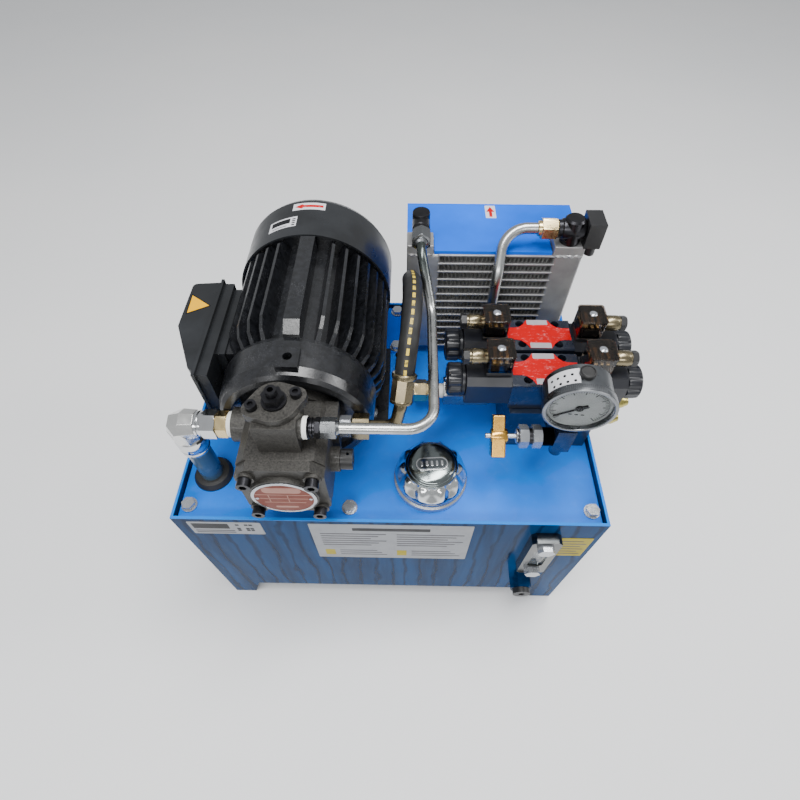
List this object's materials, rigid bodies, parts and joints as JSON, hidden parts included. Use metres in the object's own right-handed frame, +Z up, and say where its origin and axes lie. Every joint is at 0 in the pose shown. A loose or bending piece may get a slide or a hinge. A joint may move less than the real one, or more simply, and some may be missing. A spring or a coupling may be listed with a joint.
{
  "type": "hydraulic power unit",
  "caption": "Hydraulic power unit: steel oil tank carrying a flange motor with vane pump, air-blast oil cooler, solenoid valves on a manifold, relief valve, gauge, hose and tubes.",
  "frame": {"origin": "centre of the tank's footprint, on the floor", "axes": "+X to the right along the tank's front, +Y from the front to the back, +Z up"},
  "size_m": [0.514, 0.381, 0.485],
  "materials": {
    "tank_blue": "gloss",
    "lid_blue": "gloss",
    "shroud_blue": "gloss",
    "pipe_blue": "gloss",
    "rubber_black": "matt",
    "zinc": "zinc plated",
    "chrome": "polished",
    "plug_black": "satin",
    "gauge_body": "satin",
    "gauge_window": "clear",
    "mesh_steel": "satin",
    "pipe_chrome": "polished",
    "brass": "polished",
    "label_white": "printed",
    "motor_black": "high gloss",
    "winding_copper": "varnished",
    "rotor_steel": "ground",
    "bearing_steel": "polished",
    "fan_black": "satin",
    "pump_iron": "satin",
    "screw_black": "black oxide",
    "knob_black": "gloss",
    "tube_steel": "bright",
    "fitting_black": "oiled",
    "fitting_olive": "zinc plated",
    "hose_rubber": "satin",
    "valve_steel": "satin",
    "cooler_aluminium": "satin",
    "manifold_navy": "satin",
    "coil_black": "satin",
    "connector_smoke": "clear smoke",
    "spool_steel": "ground",
    "yellow_zinc": "yellow zinc",
    "gauge_steel": "polished",
    "needle_black": "matt",
    "gauge_glass": "clear"
  },
  "bodies": {
    "unit": {"tank_body": "tank_blue", "lid_gasket": "rubber_black", "lid_plate": "lid_blue", "flange_bolts": "zinc", "drain_plug": "plug_black", "level_gauge_housing": "gauge_body", "level_gauge_window": "gauge_window", "level_gauge_bolts": "zinc", "filler_neck": "zinc", "filler_basket": "mesh_steel", "suction_strainer": "mesh_steel", "suction_grommet": "rubber_black", "suction_pipe": "pipe_blue", "suction_elbow": "pipe_chrome", "suction_adapter": "brass", "label_plates": "label_white", "motor_frame": "motor_black", "motor_end_bells": "motor_black", "motor_stator": "winding_copper", "motor_bearings": "bearing_steel", "fan_cowl": "motor_black", "terminal_box": "motor_black", "terminal_box_cover": "motor_black", "pump_body": "pump_iron", "pump_cover": "pump_iron", "pump_bonnet": "pump_iron", "pressure_lock_nut": "screw_black", "pump_cam_ring": "rotor_steel", "drain_tube": "tube_steel", "return_tube": "tube_steel", "tube_fittings": "fitting_black", "hose_fittings": "fitting_olive", "pressure_hose": "hose_rubber", "check_valve": "valve_steel", "temperature_switch": "plug_black", "cooler_core": "cooler_aluminium", "cooler_shroud": "shroud_blue", "cooler_fan_motor": "fan_black", "valve_manifold": "manifold_navy", "valve_bodies": "valve_steel", "solenoid_coils": "coil_black", "coil_nuts": "coil_black", "din_connectors": "connector_smoke", "socket_screws": "screw_black", "port_fittings": "yellow_zinc", "relief_cartridge": "zinc", "gauge_block": "manifold_navy", "gauge_case": "gauge_steel", "gauge_glass": "gauge_glass"},
    "motor_shaft": {"motor_rotor": "rotor_steel", "motor_fan": "fan_black", "pump_rotor": "rotor_steel"},
    "cooler_fan_wheel": {"cooler_fan": "fan_black"},
    "gauge_pointer": {"gauge_needle": "needle_black"},
    "relief_wing": {"relief_handle": "brass"},
    "filler_lid": {"filler_cap": "chrome"},
    "pressure_adjuster": {"pressure_screw": "screw_black"},
    "flow_adjuster": {"flow_knob": "knob_black"},
    "front_spool_assembly": {"front_spool": "spool_steel"},
    "rear_spool_assembly": {"rear_spool": "spool_steel"}
  },
  "joints": [
    {"name": "shaft_spin", "type": "hinge", "parent": "unit", "child": "motor_shaft", "pos_m": [-0.097, 0, 0.365], "axis": [0, 1, 0], "continuous": true},
    {"name": "cooler_fan_spin", "type": "hinge", "parent": "unit", "child": "cooler_fan_wheel", "pos_m": [0.114, 0.15, 0.362], "axis": [0, 1, 0], "continuous": true},
    {"name": "gauge_needle_turn", "type": "hinge", "parent": "unit", "child": "gauge_pointer", "pos_m": [0.184, -0.09, 0.407], "axis": [0.0872, 0.9962, 0], "range_deg": [0, 270], "stiffness_Nm_per_rad": 0.002},
    {"name": "relief_handle_turn", "type": "hinge", "parent": "unit", "child": "relief_wing", "pos_m": [0.13, -0.098, 0.347], "axis": [1, 0, 0], "range_deg": [-360, 360]},
    {"name": "filler_cap_lift", "type": "slide", "parent": "unit", "child": "filler_lid", "axis": [0, 0, 1], "range_m": [0, 0.045]},
    {"name": "pressure_screw_turn", "type": "hinge", "parent": "unit", "child": "pressure_adjuster", "pos_m": [-0.096, -0.134, 0.45], "axis": [0, 0, 1], "range_deg": [-360, 360]},
    {"name": "flow_knob_turn", "type": "hinge", "parent": "unit", "child": "flow_adjuster", "pos_m": [-0.04, -0.139, 0.365], "axis": [1, 0, 0], "range_deg": [-180, 180]},
    {"name": "front_spool_shift", "type": "slide", "parent": "unit", "child": "front_spool_assembly", "axis": [1, 0, 0], "range_m": [-0.003, 0.003], "stiffness_N_per_m": 2000},
    {"name": "rear_spool_shift", "type": "slide", "parent": "unit", "child": "rear_spool_assembly", "axis": [1, 0, 0], "range_m": [-0.003, 0.003], "stiffness_N_per_m": 2000}
  ]
}
